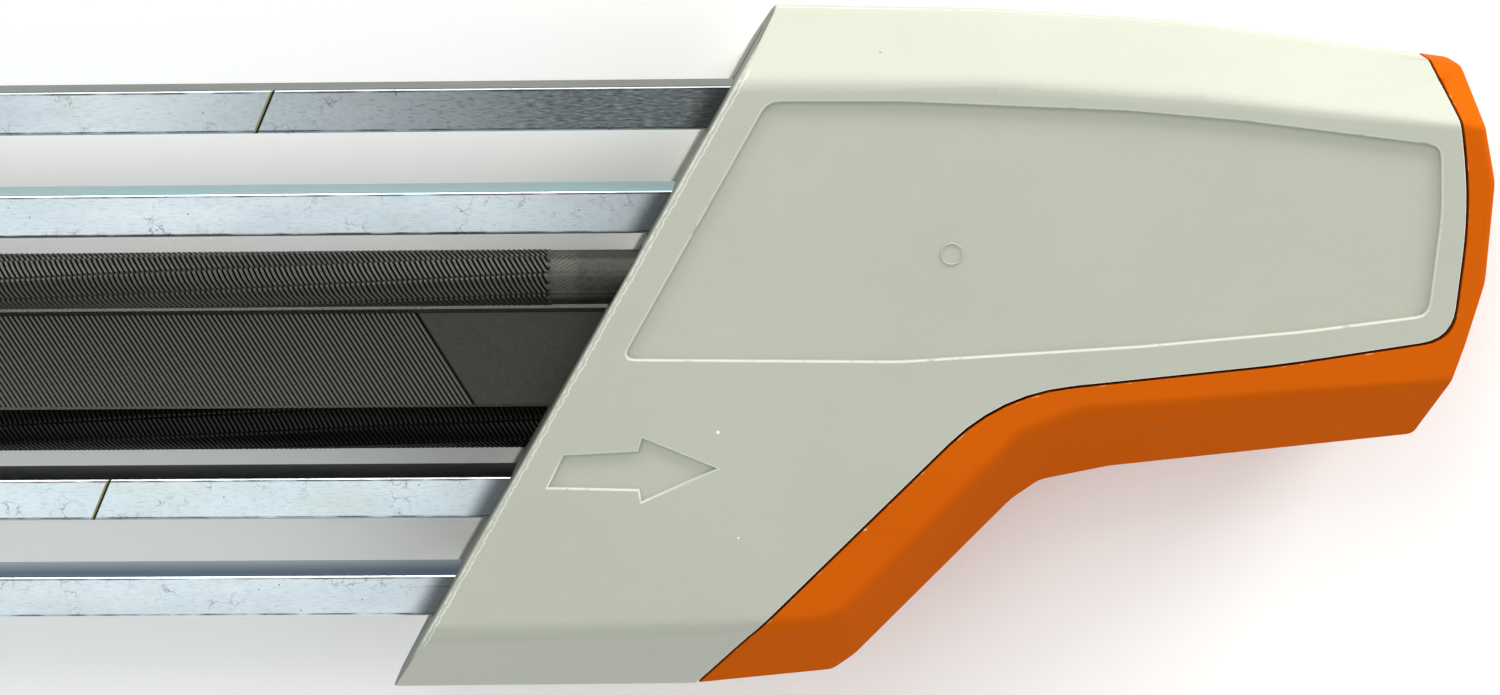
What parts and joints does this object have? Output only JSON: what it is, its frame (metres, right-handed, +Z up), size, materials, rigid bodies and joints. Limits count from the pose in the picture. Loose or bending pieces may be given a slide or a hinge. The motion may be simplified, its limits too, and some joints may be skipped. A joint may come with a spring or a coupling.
{
  "type": "chainsaw file guide",
  "caption": "Hand tool that sharpens saw chain: slanted plastic handles joined by square steel guide rails, round and flat files between them, pull-back locks.",
  "frame": {"origin": "middle of the tool at the level of the surface it lies on, under the crossing of its long axis and its half length", "axes": "+X along the rails towards the pictured handle, +Y across the rails, +Z up out of the handles' broad faces"},
  "size_m": [0.3618, 0.0594, 0.025],
  "materials": {
    "shell_grey": "fine moulded texture",
    "slide_orange": "satin moulded",
    "polymer_black": "moulded",
    "zinc_steel": "bright zinc plate, lightly scratched",
    "file_steel": "hardened, dark, oiled",
    "spring_steel": "cold rolled strip"
  },
  "bodies": {
    "tool_frame": {"guide_rail_1": "zinc_steel", "guide_rail_2": "zinc_steel", "guide_rail_3": "zinc_steel", "guide_rail_4": "zinc_steel", "round_file_upper": "file_steel", "round_file_lower": "file_steel", "flat_file": "file_steel", "right_upper_shell": "shell_grey", "right_lower_shell": "shell_grey", "right_rail_yoke": "polymer_black", "right_file_seat": "polymer_black", "right_file_spring": "spring_steel", "right_detent_spring": "spring_steel", "right_rail_pin_1": "zinc_steel", "right_rail_pin_2": "zinc_steel", "right_rail_pin_3": "zinc_steel", "right_rail_pin_4": "zinc_steel", "left_upper_shell": "shell_grey", "left_lower_shell": "shell_grey", "left_rail_yoke": "polymer_black", "left_file_seat": "polymer_black", "left_file_spring": "spring_steel", "left_detent_spring": "spring_steel", "left_rail_pin_1": "zinc_steel", "left_rail_pin_2": "zinc_steel", "left_rail_pin_3": "zinc_steel", "left_rail_pin_4": "zinc_steel"},
    "right_lock": {"right_lock_slide": "slide_orange"},
    "left_lock": {"left_lock_slide": "slide_orange"}
  },
  "joints": [
    {"name": "right_lock_pull", "type": "slide", "parent": "tool_frame", "child": "right_lock", "axis": [1, 0, 0], "range_m": [0, 0.01]},
    {"name": "left_lock_pull", "type": "slide", "parent": "tool_frame", "child": "left_lock", "axis": [-1, 0, 0], "range_m": [0, 0.01]}
  ]
}
